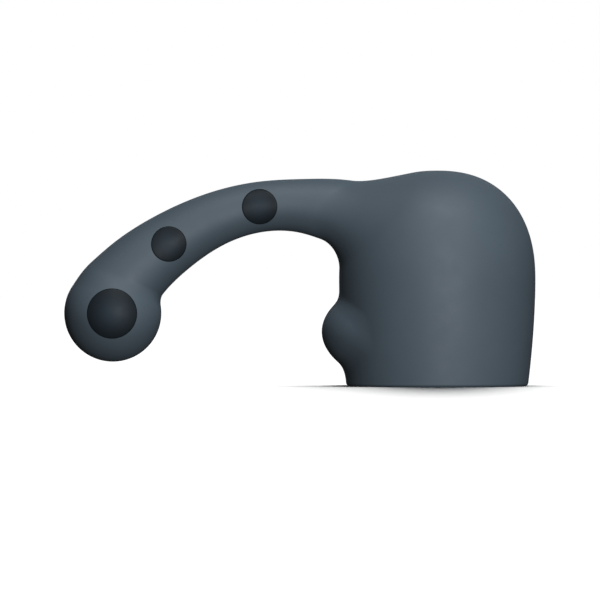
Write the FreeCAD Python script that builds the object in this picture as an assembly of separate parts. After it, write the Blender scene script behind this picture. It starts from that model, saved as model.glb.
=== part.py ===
"""Curved attachment for a wand massager, in millimetres.

A hollow silicone hood pulls over the wand's round head. A thick silicone arm leaves the top of the
hood, curves down and ends in a round tip, and a broad bump stands on the hood's front under the arm.
Three steel balls weight the arm. Each lies in a round pocket that runs through the arm from side to
side, between two dark silicone cups that close round it and end flush with the arm's sides.

The silicone is one elastic moulding. It is cut here along three flex lines, so that its bending can be
stated as hinges: the arm lifts and sways at its neck, and its outer half curls between two balls.
Each cut is a round knuckle about the hinge axis, so the sections turn without touching.

Frame: origin on the bore axis in the plane of the rim, +Z up the bore, the arm points to -X.
"""
import FreeCAD, Part
import math
import os
from FreeCAD import Vector

# ---------------------------------------------------------------- driving dimensions
HOOD_HEIGHT = 77.5          # rim to the top of the dome
HOOD_RADIUS = 35.35         # outside, at the widest
WIDEST_Z = 38.0             # height of the widest ring
DOME_POWER = 2.3           # 2 is an ellipse, more is squarer
RIM_NARROWING = 2.65        # how much smaller the outside radius is at the rim
NARROWING_POWER = 1.8
RIM_ROUND = 1.0             # outer edge of the rim
MOUTH_ROUND = 0.5           # inner edge of the rim

BORE_RADIUS = 28.0          # straight bore that grips the wand's head
BORE_DEPTH = 23.0
CAVITY_DOME = 22.0          # height of the hollow's domed end above the straight bore
CAVITY_POWER = 2.0

# The arm's centreline and radius, from inside the hood to inside the tip: x, z, radius.
ARM_STATIONS = [
    (-12.0, 56.0, 12.3),
    (-33.0, 62.2, 11.9),
    (-47.5, 64.7, 9.8),
    (-63.9, 64.4, 9.1),
    (-80.0, 60.0, 9.7),
    (-96.5, 51.0, 11.3),
    (-108.0, 41.9, 12.8),
    (-115.5, 33.7, 14.1),
]
TIP_CENTRE = Vector(-116.8, 0, 26.2)
TIP_RADIUS = 17.5
NECK_FILLET = 8.0           # between the arm and the hood

BUMP_FRONT = 41.6           # from the bore axis to the bump's foremost point
BUMP_HALF_WIDTH = 29.0
BUMP_HALF_HEIGHT = 21.5
BUMP_BACK = 21.0            # from the bore axis to where the bump ends inside the hood's wall
BUMP_Z = 19.5
BUMP_FILLET = 6.0

# The weights: name, centre, radius of the two cups, radius of the ball in them.
SMALL_WEIGHT = {"cup": 6.35, "ball": 5.5}
LARGE_WEIGHT = {"cup": 9.0, "ball": 7.5}
WEIGHTS = [
    ("inner", Vector(-63.9, 0, 64.5), SMALL_WEIGHT),
    ("middle", Vector(-96.5, 0, 51.1), SMALL_WEIGHT),
    ("tip", TIP_CENTRE, LARGE_WEIGHT),
]
BOND_FILM = 0.03            # between the cups, the ball and the pocket's wall

AXIS_Y = Vector(0, 1, 0)
AXIS_Z = Vector(0, 0, 1)
REACH = 200.0               # larger than the object, for cutting

# The flex lines. Each knuckle is wider than the arm where it cuts it.
KNUCKLE_GAP = 0.3
NECK_TOWARDS_TIP = Vector(-1.0, 0, 0.25)    # tilted up, so that it passes over the bump
LIFT = {"pivot": Vector(-43.0, 0, 64.0), "axis": AXIS_Y, "knuckle": 13.0,
        "towards_tip": NECK_TOWARDS_TIP}
SWAY = {"pivot": Vector(-52.0, 0, 64.7), "axis": AXIS_Z, "knuckle": 12.5,
        "towards_tip": NECK_TOWARDS_TIP}
CURL = {"pivot": Vector(-82.8, 0, 58.6), "axis": AXIS_Y, "knuckle": 11.5,
        "towards_tip": Vector(-0.91, 0, -0.41)}


# ---------------------------------------------------------------- hood
def spline_edge(points, first_tangent, last_tangent):
    """One smooth edge through the points, with the given directions at its ends."""
    curve = Part.BSplineCurve()
    curve.interpolate(Points=points, InitialTangent=first_tangent, FinalTangent=last_tangent)
    return curve.toShape()


def revolved(edges):
    """A solid of revolution about Z from a closed profile in the XZ plane."""
    return Part.Face(Part.Wire(edges)).revolve(Vector(), AXIS_Z, 360)


def dome_edge(radius, base_z, rise, power):
    """A quarter of a superellipse, from its widest point up to its crown on the axis."""
    steps = 10
    points = []
    for i in range(steps):
        angle = math.pi / 2 * i / steps
        across = math.cos(angle) ** (2 / power)
        up = math.sin(angle) ** (2 / power)
        points.append(Vector(radius * across, 0, base_z + rise * up))
    points.append(Vector(0, 0, base_z + rise))
    return spline_edge(points, AXIS_Z, Vector(-1, 0, 0))


def hood_radius_below_widest(z):
    share = (WIDEST_Z - z) / WIDEST_Z
    return HOOD_RADIUS - RIM_NARROWING * share ** NARROWING_POWER


def hood_block():
    """The hood's outer shape, still solid: a skirt that narrows to the rim, under a full dome."""
    skirt_steps = 4
    skirt = []
    for i in range(skirt_steps + 1):
        z = WIDEST_Z * i / skirt_steps
        skirt.append(Vector(hood_radius_below_widest(z), 0, z))
    rim_slope = RIM_NARROWING * NARROWING_POWER / WIDEST_Z
    return revolved([
        Part.makeLine(Vector(), skirt[0]),
        spline_edge(skirt, Vector(rim_slope, 0, 1), AXIS_Z),
        dome_edge(HOOD_RADIUS, WIDEST_Z, HOOD_HEIGHT - WIDEST_Z, DOME_POWER),
        Part.makeLine(Vector(0, 0, HOOD_HEIGHT), Vector()),
    ])


def cavity():
    """The hollow for the wand's head: a straight bore with a domed end."""
    below = Vector(0, 0, -1)
    mouth = Vector(BORE_RADIUS, 0, -1)
    shoulder = Vector(BORE_RADIUS, 0, BORE_DEPTH)
    return revolved([
        Part.makeLine(below, mouth),
        Part.makeLine(mouth, shoulder),
        dome_edge(BORE_RADIUS, BORE_DEPTH, CAVITY_DOME, CAVITY_POWER),
        Part.makeLine(Vector(0, 0, BORE_DEPTH + CAVITY_DOME), below),
    ])


def bump():
    """The broad rounded bump: the front of an egg shape about the bore axis."""
    shape = FreeCAD.Matrix()
    shape.scale(BUMP_FRONT, BUMP_HALF_WIDTH, BUMP_HALF_HEIGHT)
    shape.move(Vector(0, 0, BUMP_Z))
    egg = Part.makeSphere(1).transformGeometry(shape)
    side = 2 * BUMP_FRONT
    front = Part.makeBox(side, side, side, Vector(-BUMP_BACK - side, -side / 2, BUMP_Z - side / 2))
    return egg.common(front)


# ---------------------------------------------------------------- arm
def arm_block():
    """The bare arm, a loft of circles square to its centreline."""
    middles = [Vector(x, 0, z) for x, z, _ in ARM_STATIONS]
    line = Part.BSplineCurve()
    line.interpolate(Points=middles)
    rings = []
    for middle, (_, _, radius) in zip(middles, ARM_STATIONS):
        along = line.tangent(line.parameter(middle))[0]
        circle = Part.Circle(middle, along, radius)
        rings.append(Part.Wire(circle.toShape()))
    return Part.makeLoft(rings, True)


def shared_edges(solid, first, second):
    """The edges of a fused solid that lie on both of the shapes it was made from."""
    found = []
    for edge in solid.Edges:
        middle = edge.valueAt((edge.FirstParameter + edge.LastParameter) / 2)
        point = Part.Vertex(middle)
        gaps = [min(point.distToShape(face)[0] for face in shape.Faces) for shape in (first, second)]
        if max(gaps) < 0.01:
            found.append(edge)
    return found


def moulding_block():
    """Hood, bump, arm and tip as one outer shape, rounded where the bump and the arm leave the hood."""
    hood = hood_block()
    front = bump()
    body = hood.fuse(front)
    body = body.makeFillet(BUMP_FILLET, shared_edges(body, hood, front))
    arm = arm_block()
    whole = body.fuse(arm.fuse(Part.makeSphere(TIP_RADIUS, TIP_CENTRE)))
    return whole.makeFillet(NECK_FILLET, shared_edges(whole, hood, arm))


def rounded_rim(solid):
    """Rounds the rim's two edges, where the moulding stands on the plane Z = 0."""
    for radius, rounding in ((BORE_RADIUS, MOUTH_ROUND), (hood_radius_below_widest(0), RIM_ROUND)):
        ring = [
            edge for edge in solid.Edges
            if edge.BoundBox.ZMax < 0.01 and abs(edge.BoundBox.XMax - radius) < 0.05
        ]
        solid = solid.makeFillet(rounding, ring)
    return solid


# ---------------------------------------------------------------- weights
def pocket(centre, weight):
    """The round hole along Y, from side to side of the arm, that holds one ball and its two cups."""
    start = centre - AXIS_Y * (REACH / 2)
    return Part.makeCylinder(weight["cup"] + BOND_FILM, REACH, start, AXIS_Y)


def cup(outer, centre, weight, side):
    """The cup on one side: hollowed round half of the ball, and flush with the arm outside."""
    start = centre + AXIS_Y * (side * BOND_FILM)
    rod = Part.makeCylinder(weight["cup"], REACH / 2, start, AXIS_Y * side)
    hollow = Part.makeSphere(weight["ball"] + BOND_FILM, centre)
    return rod.common(outer).cut(hollow)


# ---------------------------------------------------------------- flex lines
def turning_side(flex, radius):
    """All that turns at a flex line: everything past its pivot, and the round knuckle about it."""
    past = Part.makeCylinder(REACH, REACH, flex["pivot"], flex["towards_tip"])
    start = flex["pivot"] - flex["axis"] * (REACH / 2)
    return past.fuse(Part.makeCylinder(radius, REACH, start, flex["axis"]))


def split(solid, flex):
    """The still part and the turning part of a solid, a small gap apart."""
    still = solid.cut(turning_side(flex, flex["knuckle"] + KNUCKLE_GAP))
    turning = solid.common(turning_side(flex, flex["knuckle"]))
    return still, turning


# ---------------------------------------------------------------- the object
def build():
    """Every piece of the attachment, by the name of its node."""
    block = moulding_block()
    moulding = rounded_rim(block.cut(cavity()))
    for _, centre, weight in WEIGHTS:
        moulding = moulding.cut(pocket(centre, weight))

    pieces = {}
    pieces["hood"], arm = split(moulding, LIFT)
    pieces["neck_section"], arm = split(arm, SWAY)
    pieces["arm_inner_section"], pieces["arm_outer_section"] = split(arm, CURL)

    for name, centre, weight in WEIGHTS:
        pieces[name + "_weight_ball"] = Part.makeSphere(weight["ball"], centre)
        for side_name, side in (("right", -1), ("left", 1)):
            pieces[name + "_weight_cup_" + side_name] = cup(block, centre, weight, side)
    return pieces


def main():
    os.makedirs("parts", exist_ok=True)
    for name, shape in build().items():
        solids = shape.Solids
        if len(solids) != 1 or not solids[0].isValid():
            raise RuntimeError(f"{name} has {len(solids)} solids, or is not valid")
        solids[0].exportStep(f"parts/{name}.step")
        print(f"{name}: {solids[0].Volume / 1000:.2f} cm3")


if __name__ == "__main__":
    main()
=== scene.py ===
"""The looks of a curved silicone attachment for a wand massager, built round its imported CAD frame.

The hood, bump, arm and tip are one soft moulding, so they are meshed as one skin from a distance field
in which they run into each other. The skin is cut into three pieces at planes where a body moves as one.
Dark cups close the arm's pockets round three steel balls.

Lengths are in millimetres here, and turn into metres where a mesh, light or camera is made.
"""
import math

import bmesh
import bpy
import numpy as np
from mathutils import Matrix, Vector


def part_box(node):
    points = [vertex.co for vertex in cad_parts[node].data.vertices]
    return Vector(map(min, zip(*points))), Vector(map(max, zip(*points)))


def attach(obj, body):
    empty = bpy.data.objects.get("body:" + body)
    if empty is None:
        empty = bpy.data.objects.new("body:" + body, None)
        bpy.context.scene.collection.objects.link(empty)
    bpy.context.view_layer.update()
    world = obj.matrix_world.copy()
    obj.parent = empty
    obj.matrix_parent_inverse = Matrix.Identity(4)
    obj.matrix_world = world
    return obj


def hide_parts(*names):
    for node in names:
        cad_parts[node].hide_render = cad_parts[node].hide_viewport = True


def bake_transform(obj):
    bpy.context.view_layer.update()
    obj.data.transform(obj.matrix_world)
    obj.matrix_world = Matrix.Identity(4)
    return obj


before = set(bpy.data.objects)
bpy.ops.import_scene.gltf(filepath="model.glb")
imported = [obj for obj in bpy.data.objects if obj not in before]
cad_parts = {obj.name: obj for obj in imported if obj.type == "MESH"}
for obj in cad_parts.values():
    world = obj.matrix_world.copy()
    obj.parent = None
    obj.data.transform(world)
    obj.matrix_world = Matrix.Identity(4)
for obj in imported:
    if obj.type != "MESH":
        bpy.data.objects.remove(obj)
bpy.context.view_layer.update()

import openvdb
from mathutils import Matrix, Vector

MM = 0.001

# ---------------------------------------------------------------- the moulding's dimensions
HOOD_HEIGHT = 77.5
HOOD_RADIUS = 35.35
WIDEST_Z = 38.0
DOME_POWER = 2.3            # 2 is an ellipse, more is squarer
RIM_NARROWING = 2.65        # how much smaller the outside radius is at the rim
NARROWING_POWER = 1.8
RIM_ROUND = 1.0             # outer edge of the rim
MOUTH_ROUND = 0.5           # inner edge of the rim

BORE_RADIUS = 28.0
BORE_DEPTH = 23.0
CAVITY_DOME = 22.0
CAVITY_POWER = 2.0

# The arm's centreline and radius, from inside the hood to inside the tip: x, z, radius.
ARM_STATIONS = np.array([
    (-12.0, 56.0, 12.3),
    (-33.0, 62.2, 11.9),
    (-47.5, 64.7, 9.8),
    (-63.9, 64.4, 9.1),
    (-80.0, 60.0, 9.7),
    (-96.5, 51.0, 11.3),
    (-108.0, 41.9, 12.8),
    (-115.5, 33.7, 14.1),
])
TIP_CENTRE = (-116.8, 26.2)
TIP_RADIUS = 17.5
NECK_FILLET = 8.0           # above and below the arm
NECK_SIDE_FILLET = 14.0     # on the arm's sides
NECK_Z = 62.0
TIP_FILLET = 1.8

BUMP_FRONT = 41.6           # from the bore axis to the bump's foremost point
BUMP_HALF_WIDTH = 29.0
BUMP_HALF_HEIGHT = 21.5
BUMP_Z = 19.5
BUMP_FILLET = 6.0           # above and below the bump
BUMP_SIDE_FILLET = 24.0     # where its flanks run into the wall
FLANK_NARROWING = 3.0       # how fast the flanks' fillet gives way to the other above and below
COSINE_LIMITS = (-0.9, 0.99)    # between two surfaces' slopes, which keep a fillet's size finite

# ---------------------------------------------------------------- flexing
# The seams lie between the joints, where both neighbours follow the same body.
NECK_SEAM = ((-46.2, 0, 66.5), (-1, 0, 0.25))
SWAY_SEAM = ((-57.0, 0, 64.7), (-1, 0, 0))

# ---------------------------------------------------------------- weights
SIDES = {"right": -1, "left": 1}
BOND_FILM = 0.03            # between a cup, the ball and the other cup
POCKET_GAP = 0.015          # round a cup, in the skin
FOOT_GAP = 0.004            # round a cup's foot, which keeps light from passing through the pocket
ROUND_SIDES = 128           # of a cup and of its pocket
CUP_EDGE = 0.4              # rounding of the rim of a cup's face
CUP_RECESS = 0.05           # of a cup's face in the arm's side

# ---------------------------------------------------------------- meshing
CELL = 0.7
BAND = 3                    # cells of field kept on each side of the surface
SURFACE_PASSES = 4          # that move the skin's points onto the surface
ARM_STARTS = 49             # places on the arm's line where the search for the nearest ball may start
ARM_PASSES = 5              # of that search
ON_SKIN = 0.8               # least cosine between a face of the skin and the field's slope
FACE_RINGS = 12             # in a cup's face, from its middle to its rounded edge
EDGE_RINGS = 5              # in the rounding of a cup's face
HOLLOW_RINGS = 14           # in a cup's hollow for the ball
SHARP_ANGLE = 40            # degrees; a cup's edges that turn more than this stay sharp

# ---------------------------------------------------------------- surfaces
SILICONE_TONES = ((0.092, 0.126, 0.157), (0.098, 0.134, 0.167))
SILICONE_ROUGHNESS = (0.57, 0.64)
CUP_TONE_AND_PAINTED_SHADE = ((0.026, 0.041, 0.056), (0.014, 0.0205, 0.027))     # in the middle of its face, at the rim: dark silicone with painted shade, darker at the rim as on a ball
CUP_ROUGHNESS = (0.5, 0.6)
STEEL_TONES = ((0.56, 0.56, 0.57), (0.63, 0.63, 0.64))
STEEL_ROUGHNESS = (0.12, 0.22)
PAPER_TONES = ((0.88, 0.88, 0.88), (0.90, 0.90, 0.90))

GRAIN_SCALE = 3200.0        # of the noise on the moulded surfaces, per metre
GRAIN_HEIGHT = 0.04
MARK_SCALE = 1800.0         # of the noise on the steel, per metre
MARK_HEIGHT = 0.03
PARTING_HALF_WIDTH = 0.22   # of the faint line that the mould leaves on its middle plane
PARTING_HEIGHT = 0.05


# ================================================================ the distance field
def round_union(a, b, radius, cosine=0.0):
    """Two shapes as one, with a concave fillet of this radius where they meet at a known angle."""
    u = radius - a
    v = radius - b
    centre_gap = np.sqrt((u ** 2 + v ** 2 - 2 * u * v * cosine) / (1 - cosine ** 2))
    in_fillet = (u > v * cosine) & (v > u * cosine)
    return np.where(in_fillet, radius - centre_gap, np.minimum(a, b))


def round_cut(a, b, radius):
    """What is inside both shapes, with a rounded edge of this radius where they cross."""
    u = np.maximum(radius + a, 0)
    v = np.maximum(radius + b, 0)
    return np.minimum(-radius, np.maximum(a, b)) + np.hypot(u, v)


def ball_field(x, y, z, centre, radius):
    return np.sqrt((x - centre[0]) ** 2 + y ** 2 + (z - centre[1]) ** 2) - radius


def dome_field(r, z, radius, rise, power):
    """A superellipse dome of revolution that stands on its widest ring, at z = 0."""
    across = np.maximum(r / radius, 1e-6)
    up = np.maximum(z / rise, 1e-6)
    total = across ** power + up ** power
    level = total ** (1 / power)
    slope = total ** (1 / power - 1)
    steepness = np.hypot(slope * across ** (power - 1) / radius, slope * up ** (power - 1) / rise)
    return (level - 1) / np.maximum(steepness, 1e-3)


def hood_field(r, z):
    share = np.clip((WIDEST_Z - z) / WIDEST_Z, 0, 1.2)
    skirt = r - (HOOD_RADIUS - RIM_NARROWING * share ** NARROWING_POWER)
    dome = dome_field(r, z - WIDEST_Z, HOOD_RADIUS, HOOD_HEIGHT - WIDEST_Z, DOME_POWER)
    return np.where(z > WIDEST_Z, dome, skirt)


def cavity_field(r, z):
    dome = dome_field(r, z - BORE_DEPTH, BORE_RADIUS, CAVITY_DOME, CAVITY_POWER)
    return np.where(z > BORE_DEPTH, dome, r - BORE_RADIUS)


def egg_field(x, y, z):
    """The egg shape about the bore axis whose front is the bump, and the field's slope along x and y."""
    steps = (x / BUMP_FRONT, y / BUMP_HALF_WIDTH, (z - BUMP_Z) / BUMP_HALF_HEIGHT)
    slope = (steps[0] / BUMP_FRONT, steps[1] / BUMP_HALF_WIDTH, steps[2] / BUMP_HALF_HEIGHT)
    level = np.maximum(np.sqrt(steps[0] ** 2 + steps[1] ** 2 + steps[2] ** 2), 0.1)
    steepness = np.maximum(np.sqrt(slope[0] ** 2 + slope[1] ** 2 + slope[2] ** 2), 1e-4)
    field = np.where(x < 0, (level - 1) * level / steepness, HOOD_RADIUS)
    return field, slope[0] / steepness, slope[1] / steepness


def front_field(x, y, z):
    """The hood and its bump. The fillet between them widens from the bump's top to its flanks."""
    r = np.hypot(x, y)
    egg, slope_x, slope_y = egg_field(x, y, z)
    cosine = np.clip((x * slope_x + y * slope_y) / np.maximum(r, 1e-3), *COSINE_LIMITS)
    height = ((z - BUMP_Z) / BUMP_HALF_HEIGHT) ** 2
    sideways = np.clip(1 - FLANK_NARROWING * height, 0, 1) ** 2
    fillet = BUMP_FILLET + (BUMP_SIDE_FILLET - BUMP_FILLET) * sideways
    return round_union(hood_field(r, z), egg, fillet, cosine)


class ArmLine:
    """A natural cubic spline through the arm's stations, which carries x, z and the radius."""

    def __init__(self, stations):
        steps = np.hypot(np.diff(stations[:, 0]), np.diff(stations[:, 1]))
        self.knots = np.concatenate([[0], np.cumsum(steps)])
        self.stations = stations
        self.bends = self.second_derivatives(steps)

    def second_derivatives(self, steps):
        count = len(self.stations)
        matrix = np.eye(count)
        right = np.zeros_like(self.stations)
        slopes = np.diff(self.stations, axis=0) / steps[:, None]
        for i in range(1, count - 1):
            matrix[i, i - 1:i + 2] = steps[i - 1], 2 * (steps[i - 1] + steps[i]), steps[i]
            right[i] = 6 * (slopes[i] - slopes[i - 1])
        return np.linalg.solve(matrix, right)

    def at(self, t):
        """The spline's value, first and second derivative at t."""
        i = np.clip(np.searchsorted(self.knots, t) - 1, 0, len(self.knots) - 2)
        step = (self.knots[i + 1] - self.knots[i])[..., None]
        a = (self.knots[i + 1] - t)[..., None] / step
        b = 1 - a
        low = self.bends[i]
        high = self.bends[i + 1]
        value = a * self.stations[i] + b * self.stations[i + 1]
        value += ((a ** 3 - a) * low + (b ** 3 - b) * high) * step ** 2 / 6
        first = (self.stations[i + 1] - self.stations[i]) / step
        first += ((3 * b ** 2 - 1) * high - (3 * a ** 2 - 1) * low) * step / 6
        return value, first, a * low + b * high

    def field(self, x, y, z):
        """Distance to the arm's surface: the least gap to any of the balls along its line."""
        starts = np.linspace(0, self.knots[-1], ARM_STARTS)
        least = np.full(x.shape, np.inf)
        t = np.zeros(x.shape)
        for start, (cx, cz, radius) in zip(starts, self.at(starts)[0]):
            gap = ball_field(x, y, z, (cx, cz), radius)
            nearer = gap < least
            least = np.where(nearer, gap, least)
            t = np.where(nearer, start, t)
        for _ in range(ARM_PASSES):
            t = self.nearer(t, x, y, z)
        value = self.at(t)[0]
        return ball_field(x, y, z, (value[..., 0], value[..., 1]), value[..., 2])

    def nearer(self, t, x, y, z):
        """One Newton step from t towards the place on the line whose ball is nearest."""
        value, first, second = self.at(t)
        dx = x - value[..., 0]
        dz = z - value[..., 1]
        length = np.maximum(np.sqrt(dx ** 2 + y ** 2 + dz ** 2), 1e-6)
        along = -(dx * first[..., 0] + dz * first[..., 1]) / length
        speed = first[..., 0] ** 2 + first[..., 1] ** 2
        turn = dx * second[..., 0] + dz * second[..., 1]
        curve = (speed - turn - along ** 2) / length - second[..., 2]
        step = (along - first[..., 2]) / np.maximum(curve, 0.02)
        return np.clip(t - np.clip(step, -3, 3), 0, self.knots[-1])


ARM = ArmLine(ARM_STATIONS)


def outer_field(x, y, z):
    """The moulding's outer shape, as if it were solid and had no end at the rim."""
    tip = ball_field(x, y, z, TIP_CENTRE, TIP_RADIUS)
    arm = round_union(ARM.field(x, y, z), tip, TIP_FILLET)
    sideways = y ** 2 / (y ** 2 + (z - NECK_Z) ** 2 + 1)
    return round_union(front_field(x, y, z), arm, NECK_FILLET + (NECK_SIDE_FILLET - NECK_FILLET) * sideways)


def skin_field(x, y, z):
    """The moulding, with its flat rim and the hollow for the wand's head."""
    standing = round_cut(outer_field(x, y, z), -z, RIM_ROUND)
    return round_cut(standing, -cavity_field(np.hypot(x, y), z), MOUTH_ROUND)


def slope_of(field, points, step=0.02):
    """The field's gradient at each point."""
    slope = np.empty_like(points)
    for axis in range(3):
        shift = np.zeros(3)
        shift[axis] = step
        ahead = field(*(points + shift).T)
        behind = field(*(points - shift).T)
        slope[:, axis] = (ahead - behind) / (2 * step)
    return slope


# ================================================================ meshes
def skin_grid():
    """The grid's lowest corner and the skin's field on it. One half is worked out, and mirrored."""
    low = np.array([TIP_CENTRE[0] - TIP_RADIUS, 0, 0]) - np.array([BAND, 0, BAND]) * CELL
    high = np.array([HOOD_RADIUS, HOOD_RADIUS, HOOD_HEIGHT]) + BAND * CELL
    axes = [np.arange(start, end, CELL) for start, end in zip(low, high)]
    half = skin_field(*np.meshgrid(*axes, indexing="ij"))
    values = np.concatenate([half[:, :0:-1], half], axis=1)
    return np.array([low[0], -axes[1][-1], low[2]]), values


def skin_mesh():
    """Points and quads of the whole skin, with every point moved onto the surface."""
    low, values = skin_grid()
    grid = openvdb.FloatGrid()
    grid.background = BAND * CELL
    grid.copyFromArray(np.clip(values, -BAND * CELL, BAND * CELL).astype(np.float32))
    points, quads = grid.convertToQuads()
    points = low + points.astype(float) * CELL
    for _ in range(SURFACE_PASSES):
        slope = slope_of(skin_field, points)
        steepness = np.maximum((slope ** 2).sum(axis=1), 0.1)
        points -= slope * (skin_field(*points.T) / steepness)[:, None]
    return points, quads


def new_object(name, mesh):
    made = bpy.data.objects.new(name, mesh)
    bpy.context.scene.collection.objects.link(made)
    return made


def mesh_from(name, points, faces):
    """A mesh from points in millimetres, with its faces turned outwards."""
    mesh = bpy.data.meshes.new(name)
    mesh.from_pydata((np.asarray(points) * MM).tolist(), [], [tuple(map(int, face)) for face in faces])
    shell = bmesh.new()
    shell.from_mesh(mesh)
    bmesh.ops.recalc_face_normals(shell, faces=shell.faces)
    shell.to_mesh(mesh)
    shell.free()
    return mesh


def beyond(mesh, name, seams):
    """A copy of the mesh with only what lies ahead of each seam, closed flat there."""
    shell = bmesh.new()
    shell.from_mesh(mesh)
    for point, direction in seams:
        parts = shell.verts[:] + shell.edges[:] + shell.faces[:]
        cut = bmesh.ops.bisect_plane(
            shell, geom=parts, dist=1e-7, plane_co=Vector(point) * MM, plane_no=direction,
            clear_inner=True,
        )
        rim = [part for part in cut["geom_cut"] if isinstance(part, bmesh.types.BMEdge)]
        bmesh.ops.holes_fill(shell, edges=rim, sides=0)
    kept = bpy.data.meshes.new(name)
    shell.to_mesh(kept)
    shell.free()
    return kept


def backwards(seam):
    point, direction = seam
    return point, tuple(-part for part in direction)


def drill(piece, holes):
    """Cuts a round hole right through the piece, along Y, at each (x, z, radius)."""
    cutter = bmesh.new()
    along_y = Matrix.Rotation(math.pi / 2, 4, "X")
    for x, z, radius in holes:
        place = Matrix.Translation(Vector((x, 0, z)) * MM) @ along_y
        bmesh.ops.create_cone(
            cutter, cap_ends=True, segments=ROUND_SIDES, depth=2 * HOOD_RADIUS * MM,
            radius1=radius * MM, radius2=radius * MM, matrix=place,
        )
    tool = new_object("drill", bpy.data.meshes.new("drill"))
    cutter.to_mesh(tool.data)
    cutter.free()
    cut = piece.modifiers.new("pockets", "BOOLEAN")
    cut.object = tool
    cut.solver = "EXACT"
    ready = piece.evaluated_get(bpy.context.evaluated_depsgraph_get())
    drilled = bpy.data.meshes.new_from_object(ready)
    piece.modifiers.clear()
    drop_spare_points(drilled)
    piece.data = drilled
    bpy.data.objects.remove(tool)


def drop_spare_points(mesh):
    """Takes out the points that the cut leaves along an edge and that join nothing else."""
    shell = bmesh.new()
    shell.from_mesh(mesh)
    spare = [point for point in shell.verts if len(point.link_edges) == 2]
    bmesh.ops.dissolve_verts(shell, verts=spare)
    shell.to_mesh(mesh)
    shell.free()


def read(parts, name, width):
    values = np.empty(len(parts) * width)
    parts.foreach_get(name, values)
    return values.reshape(-1, width)


def shade_from_field(mesh):
    """Shades the skin by the field's own slope, and leaves the seams and pocket walls flat."""
    mesh.shade_smooth()
    points = read(mesh.vertices, "co", 3)
    slope = slope_of(skin_field, points / MM)
    slope /= np.linalg.norm(slope, axis=1)[:, None]
    corner = np.empty(len(mesh.loops), int)
    mesh.loops.foreach_get("vertex_index", corner)
    sizes = read(mesh.polygons, "loop_total", 1)[:, 0].astype(int)
    flat = np.repeat(read(mesh.polygons, "normal", 3), sizes, axis=0)
    on_skin = (slope[corner] * flat).sum(axis=1) > ON_SKIN
    mesh.normals_split_custom_set(np.where(on_skin[:, None], slope[corner], flat).tolist())


def keep_rest_place(mesh):
    """Stores each point's place at rest, so that a material stays on the skin as it bends."""
    rest = mesh.attributes.new("rest_place", "FLOAT_VECTOR", "POINT")
    rest.data.foreach_set("vector", read(mesh.vertices, "co", 3).astype(np.float32).ravel())


# ================================================================ weights
def weight_places():
    """Centre, ball radius and cup radius of each weight, read from the CAD nodes."""
    found = {}
    for name in ("inner", "middle", "tip"):
        low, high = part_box(f"{name}_weight_ball")
        cup_low, cup_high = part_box(f"{name}_weight_cup_right")
        found[name] = {
            "x": (cup_low.x + cup_high.x) / 2 / MM,
            "z": (cup_low.z + cup_high.z) / 2 / MM,
            "ball": (high.x - low.x) / 2 / MM,
            "cup": (cup_high.x - cup_low.x) / 2 / MM,
        }
    return found


def side_height(x, z):
    """How far the arm's side is from its middle plane at x, z."""
    y = np.full(x.shape, TIP_RADIUS)
    for _ in range(12):
        here = outer_field(x, y, z)
        rise = (outer_field(x, y + 0.01, z) - here) / 0.01
        y = y - here / np.maximum(rise, 0.3)
    return y


def cup_mesh(name, weight, side):
    """A closed cup: a face in line with the arm's side, a round wall, and half a ball's hollow."""
    turn = np.linspace(0, 2 * math.pi, ROUND_SIDES, endpoint=False)

    def ring(radius, y):
        return np.stack([radius * np.cos(turn), np.broadcast_to(y, turn.shape), radius * np.sin(turn)], 1)

    def face_height(radius):
        return side_height(weight["x"] + radius * np.cos(turn), weight["z"] + radius * np.sin(turn))

    hollow = weight["ball"] + BOND_FILM
    flat = weight["cup"] - CUP_EDGE
    rings = [ring(r, face_height(r) - CUP_RECESS) for r in np.linspace(0, flat, FACE_RINGS + 1)[1:]]
    for angle in np.radians(np.linspace(0, 90, EDGE_RINGS + 1)[1:]):
        radius = flat + CUP_EDGE * math.sin(angle)
        rings.append(ring(radius, face_height(radius) - CUP_RECESS - CUP_EDGE * (1 - math.cos(angle))))
    top = rings[-1][:, 1]
    foot = weight["cup"] + POCKET_GAP - FOOT_GAP
    for share, radius in ((0.66, weight["cup"]), (0.33, weight["cup"]), (0.0, foot)):
        rings.append(ring(radius, BOND_FILM + (top - BOND_FILM) * share))
    for angle in np.radians(np.linspace(0, 90, HOLLOW_RINGS + 1)[:-1]):
        rings.append(ring(hollow * math.cos(angle), max(hollow * math.sin(angle), BOND_FILM)))
    crown = side_height(np.array([weight["x"]]), np.array([weight["z"]]))[0] - CUP_RECESS
    ends = np.array([(0, crown, 0), (0, hollow, 0)])
    points = np.concatenate(rings + [ends]) - (0, crown, 0)
    points[:, 1] *= side

    faces = []
    last = len(rings) * ROUND_SIDES
    for i in range(ROUND_SIDES):
        j = (i + 1) % ROUND_SIDES
        faces.append((last, i, j))
        faces.append((last + 1, last - ROUND_SIDES + i, last - ROUND_SIDES + j))
        for start in range(0, last - ROUND_SIDES, ROUND_SIDES):
            after = start + ROUND_SIDES
            faces.append((start + i, start + j, after + j, after + i))
    return mesh_from(name, points, faces), Vector((weight["x"], side * crown, weight["z"])) * MM


# ================================================================ materials
def new_material(name, **values):
    """A material, its node tree and its shader, with these values on the shader's own sockets."""
    made = bpy.data.materials.new(name)
    made.use_nodes = True
    shader = made.node_tree.nodes["Principled BSDF"]
    for socket, value in values.items():
        shader.inputs[socket.replace("_", " ")].default_value = value
    return made, made.node_tree, shader


def add(tree, kind, links=(), **settings):
    """A node with its settings, its inputs linked from other nodes' outputs or set to values."""
    node = tree.nodes.new(kind)
    for name, value in settings.items():
        setattr(node, name, value)
    for socket, source in dict(links).items():
        if isinstance(source, bpy.types.NodeSocket):
            tree.links.new(source, node.inputs[socket])
        else:
            node.inputs[socket].default_value = source
    return node


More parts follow.
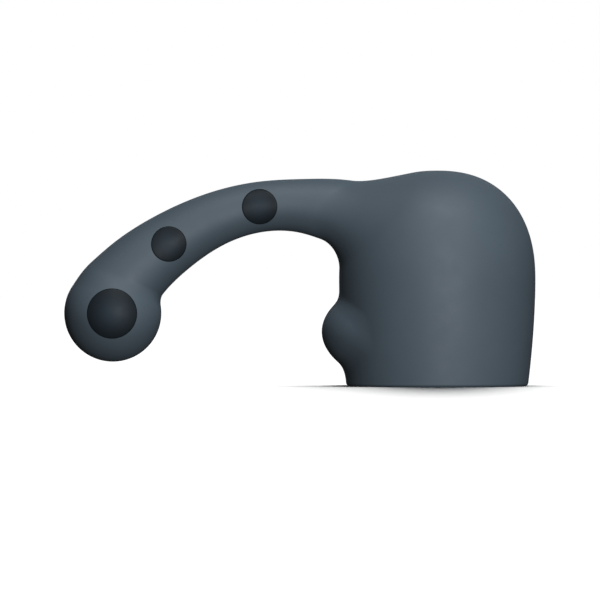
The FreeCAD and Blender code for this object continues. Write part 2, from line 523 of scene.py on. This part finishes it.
def noise(tree, place, scale, detail=2.0):
    links = {"Vector": place, "Scale": scale, "Detail": detail}
    return add(tree, "ShaderNodeTexNoise", links).outputs["Fac"]


def spread(tree, value, low, high, start=0.3, end=0.7, curve="LINEAR"):
    """The value between start and end, as a number from low to high."""
    links = {"Value": value, "From Min": start, "From Max": end, "To Min": low, "To Max": high}
    return add(tree, "ShaderNodeMapRange", links, interpolation_type=curve).outputs["Result"]


def two_tones(tree, share, tones):
    """The first tone where the share is 0, the second where it is 1, and a mix between."""
    mixed = add(tree, "ShaderNodeMix", {"Factor": share}, data_type="RGBA")
    inlets = [socket for socket in mixed.inputs if socket.type == "RGBA"]
    for inlet, tone in zip(inlets, tones):
        inlet.default_value = (*tone, 1)
    return next(socket for socket in mixed.outputs if socket.type == "RGBA")


def bump(tree, height, strength, distance, under=None):
    """A shading bump, this many millimetres high, on top of the one under it."""
    links = {"Height": height, "Strength": strength, "Distance": distance * MM}
    if under:
        links["Normal"] = under
    return add(tree, "ShaderNodeBump", links).outputs["Normal"]


def slate_silicone():
    """Matte slate-grey silicone from a blasted mould, with a faint parting line on its middle plane."""
    made, tree, shader = new_material("slate_silicone", Specular_IOR_Level=0.5)
    place = add(tree, "ShaderNodeAttribute", attribute_name="rest_place").outputs["Vector"]
    across = add(tree, "ShaderNodeSeparateXYZ", {"Vector": place}).outputs["Y"]
    aside = add(tree, "ShaderNodeMath", {0: across}, operation="ABSOLUTE").outputs["Value"]
    parting = spread(tree, aside, 1, 0, 0.0, PARTING_HALF_WIDTH * MM, "SMOOTHSTEP")

    cloud = noise(tree, place, 45.0, 4.0)
    tone = two_tones(tree, spread(tree, cloud, 0, 1), SILICONE_TONES)
    tree.links.new(tone, shader.inputs["Base Color"])
    satin = noise(tree, place, 160.0, 3.0)
    tree.links.new(spread(tree, satin, *SILICONE_ROUGHNESS), shader.inputs["Roughness"])

    grain = bump(tree, noise(tree, place, GRAIN_SCALE), 0.12, GRAIN_HEIGHT)
    line = bump(tree, parting, 0.35, PARTING_HEIGHT, under=grain)
    tree.links.new(line, shader.inputs["Normal"])
    return made


def cup_silicone():
    """Darker, firmer silicone, with painted shade that darkens a cup's face towards its rim, like the
    shading on a ball.
    """
    made, tree, shader = new_material("cup_silicone", Specular_IOR_Level=0.2)
    place = add(tree, "ShaderNodeTexCoord").outputs["Object"]
    out = add(tree, "ShaderNodeAttribute", attribute_name="from_middle").outputs["Fac"]
    # painted shade: the face darkens from its middle to its rim, like a lit ball
    rim = spread(tree, out, 0, 1, 0.1, 1.0, "SMOOTHSTEP")
    tone = two_tones(tree, rim, CUP_TONE_AND_PAINTED_SHADE)
    tree.links.new(tone, shader.inputs["Base Color"])
    satin = noise(tree, place, 200.0)
    tree.links.new(spread(tree, satin, *CUP_ROUGHNESS), shader.inputs["Roughness"])
    grain = bump(tree, noise(tree, place, GRAIN_SCALE), 0.1, GRAIN_HEIGHT)
    tree.links.new(grain, shader.inputs["Normal"])
    return made


def weight_steel():
    """Ground steel: fine haze and light marks on a polished ball."""
    made, tree, shader = new_material("weight_steel", Metallic=1.0)
    place = add(tree, "ShaderNodeTexCoord").outputs["Object"]
    haze = noise(tree, place, 300.0, 4.0)
    tone = two_tones(tree, spread(tree, haze, 0, 1), STEEL_TONES)
    tree.links.new(tone, shader.inputs["Base Color"])
    tree.links.new(spread(tree, haze, *STEEL_ROUGHNESS), shader.inputs["Roughness"])
    marks = bump(tree, noise(tree, place, MARK_SCALE), 0.05, MARK_HEIGHT)
    tree.links.new(marks, shader.inputs["Normal"])
    return made


# ================================================================ the pieces
def build_skin(weights, material):
    """The moulding's three pieces, cut at the seams, with the pockets drilled through the arm's piece."""
    whole = mesh_from("whole", *skin_mesh())
    root = new_object("hood_skin", beyond(whole, "hood_skin", [backwards(NECK_SEAM)]))
    neck = new_object("neck_skin", beyond(whole, "neck_skin", [NECK_SEAM, backwards(SWAY_SEAM)]))
    arm = new_object("arm_skin", beyond(whole, "arm_skin", [SWAY_SEAM]))
    drill(arm, [(weight["x"], weight["z"], weight["cup"] + POCKET_GAP) for weight in weights.values()])

    for piece in (root, neck, arm):
        piece.data.materials.clear()
        piece.data.materials.append(material)
        shade_from_field(piece.data)
        keep_rest_place(piece.data)
    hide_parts("hood")
    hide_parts("neck_section")
    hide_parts("arm_inner_section", "arm_outer_section")

    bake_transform(root)
    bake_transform(neck)
    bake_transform(arm)


def keep_share_out(mesh, radius):
    """Stores how far out each point of a cup is: 0 in the middle of its face, 1 at its wall."""
    points = read(mesh.vertices, "co", 3)
    share = np.hypot(points[:, 0], points[:, 2]) / (radius * MM)
    stored = mesh.attributes.new("from_middle", "FLOAT", "POINT")
    stored.data.foreach_set("value", share.astype(np.float32))


def build_cups(weights, material):
    for name, weight in weights.items():
        body = "arm_inner" if name == "inner" else "arm_outer"
        for side_name, side in SIDES.items():
            title = f"{name}_cup_{side_name}"
            mesh, place = cup_mesh(title, weight, side)
            mesh.materials.append(material)
            mesh.shade_smooth()
            mesh.set_sharp_from_angle(angle=math.radians(SHARP_ANGLE))
            keep_share_out(mesh, weight["cup"])
            piece = new_object(title, mesh)
            piece.location = place
            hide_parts(f"{name}_weight_cup_{side_name}")
            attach(piece, body)


def finish_balls(weights, material):
    for name in weights:
        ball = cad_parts[f"{name}_weight_ball"]
        ball.data.materials.clear()
        ball.data.materials.append(material)


# ================================================================ camera, lights and floor
AIM = Vector((-49.4, 0, 30.9)) * MM
CAMERA_RISE = 0.6           # degrees above the floor
CAMERA_DISTANCE = 3.6
LENS = 600.0

# The floor from front to back: y, z.
FLOOR_PROFILE = [(-3000.0, -9.0), (-94.0, -9.0), (-33.0, 0.0), (3000.0, 0.0)]
FLOOR_REACH = 3000.0
FLOOR_LIGHT = 4.0           # watts on each square metre
FLOOR_LIGHT_SPREAD = 34.0   # degrees across
FLOOR_LIGHT_RISE = 79.0
GLOW = 0.04                 # of the even light from all round

# The lamps that light the object: azimuth, rise, size in metres, power in watts.
LAMP_DISTANCE = 1.6
LAMPS = {
    "key_light": (14, 5, 0.25, 12.6),
    "top_light": (20, 64, 0.65, 11.5),
    "left_back_light": (-163, 28, 0.9, 11.0),
    "right_back_light": (163, 28, 0.9, 11.0),
}


def towards(azimuth, rise):
    """The direction from the object to something at this azimuth and height, 0 being the camera's side."""
    a = math.radians(azimuth)
    e = math.radians(rise)
    return Vector((math.sin(a) * math.cos(e), -math.cos(a) * math.cos(e), math.sin(e)))


def look_at(thing, target):
    thing.rotation_euler = (thing.location - target).to_track_quat("Z", "Y").to_euler()


def place_camera():
    data = bpy.data.cameras.new("camera")
    data.lens = LENS
    camera = new_object("camera", data)
    camera.location = AIM + towards(0, CAMERA_RISE) * CAMERA_DISTANCE
    look_at(camera, AIM)
    bpy.context.scene.camera = camera


def area_light(name, azimuth, rise, size, power):
    data = bpy.data.lights.new(name, "AREA")
    data.shape = "DISK"
    data.size = size
    data.energy = power
    light = new_object(name, data)
    light.location = AIM + towards(azimuth, rise) * LAMP_DISTANCE
    look_at(light, AIM)
    return light


def light_world():
    """White behind the object for the camera, and a dim even glow for everything else."""
    world = bpy.data.worlds.new("studio")
    bpy.context.scene.world = world
    world.use_nodes = True
    tree = world.node_tree
    seen = tree.nodes["Background"]
    seen.inputs["Strength"].default_value = 1.0
    seen.inputs["Color"].default_value = (1, 1, 1, 1)
    glow = add(tree, "ShaderNodeBackground", {"Color": (1, 1, 1, 1), "Strength": GLOW})
    path = add(tree, "ShaderNodeLightPath")
    both = add(tree, "ShaderNodeMixShader", {0: path.outputs["Is Camera Ray"]})
    tree.links.new(glow.outputs[0], both.inputs[1])
    tree.links.new(seen.outputs[0], both.inputs[2])
    tree.links.new(both.outputs[0], tree.nodes["World Output"].inputs["Surface"])


def lay_floor():
    """A pale paper floor. It dips a little in front of the object, so that a low camera sees its shadow."""
    paper, tree, shader = new_material("paper", Roughness=0.9, Specular_IOR_Level=0.1)
    place = add(tree, "ShaderNodeTexCoord").outputs["Object"]
    tone = two_tones(tree, noise(tree, place, 6.0), PAPER_TONES)
    tree.links.new(tone, shader.inputs["Base Color"])

    points = [(side * FLOOR_REACH, y, z) for y, z in FLOOR_PROFILE for side in (-1, 1)]
    strips = [(i, i + 1, i + 3, i + 2) for i in range(0, len(points) - 2, 2)]
    floor = new_object("floor", mesh_from("floor", points, strips))
    floor.data.materials.append(paper)
    floor.visible_diffuse = False
    floor.visible_glossy = False
    light_floor(floor)


def linked(name, things):
    collection = bpy.data.collections.new(name)
    for thing in things:
        collection.objects.link(thing)
    return collection


def light_floor(floor):
    """A broad soft light from overhead that lights only the floor, and that only the hood shades."""
    sun = bpy.data.lights.new("floor_light", "SUN")
    sun.energy = FLOOR_LIGHT
    sun.angle = math.radians(FLOOR_LIGHT_SPREAD)
    lamp = new_object("floor_light", sun)
    lamp.rotation_euler = towards(180, FLOOR_LIGHT_RISE).to_track_quat("Z", "Y").to_euler()
    lamp.light_linking.receiver_collection = linked("floor_only", [floor])
    lamp.light_linking.blocker_collection = linked("hood_only", [bpy.data.objects["hood_skin"]])


def light_object():
    """Lights the object and not the floor. The back lamps leave no highlight of their own."""
    pieces = [thing for thing in bpy.context.scene.objects if thing.type == "MESH" and thing.name != "floor"]
    lit = linked("object_only", pieces)
    for name, settings in LAMPS.items():
        lamp = area_light(name, *settings)
        lamp.light_linking.receiver_collection = lit
        lamp.visible_glossy = "back" not in name


def main():
    bpy.context.scene.view_settings.view_transform = "Standard"
    place_camera()
    weights = weight_places()
    build_skin(weights, slate_silicone())
    build_cups(weights, cup_silicone())
    finish_balls(weights, weight_steel())

    light_world()
    lay_floor()
    light_object()


main()
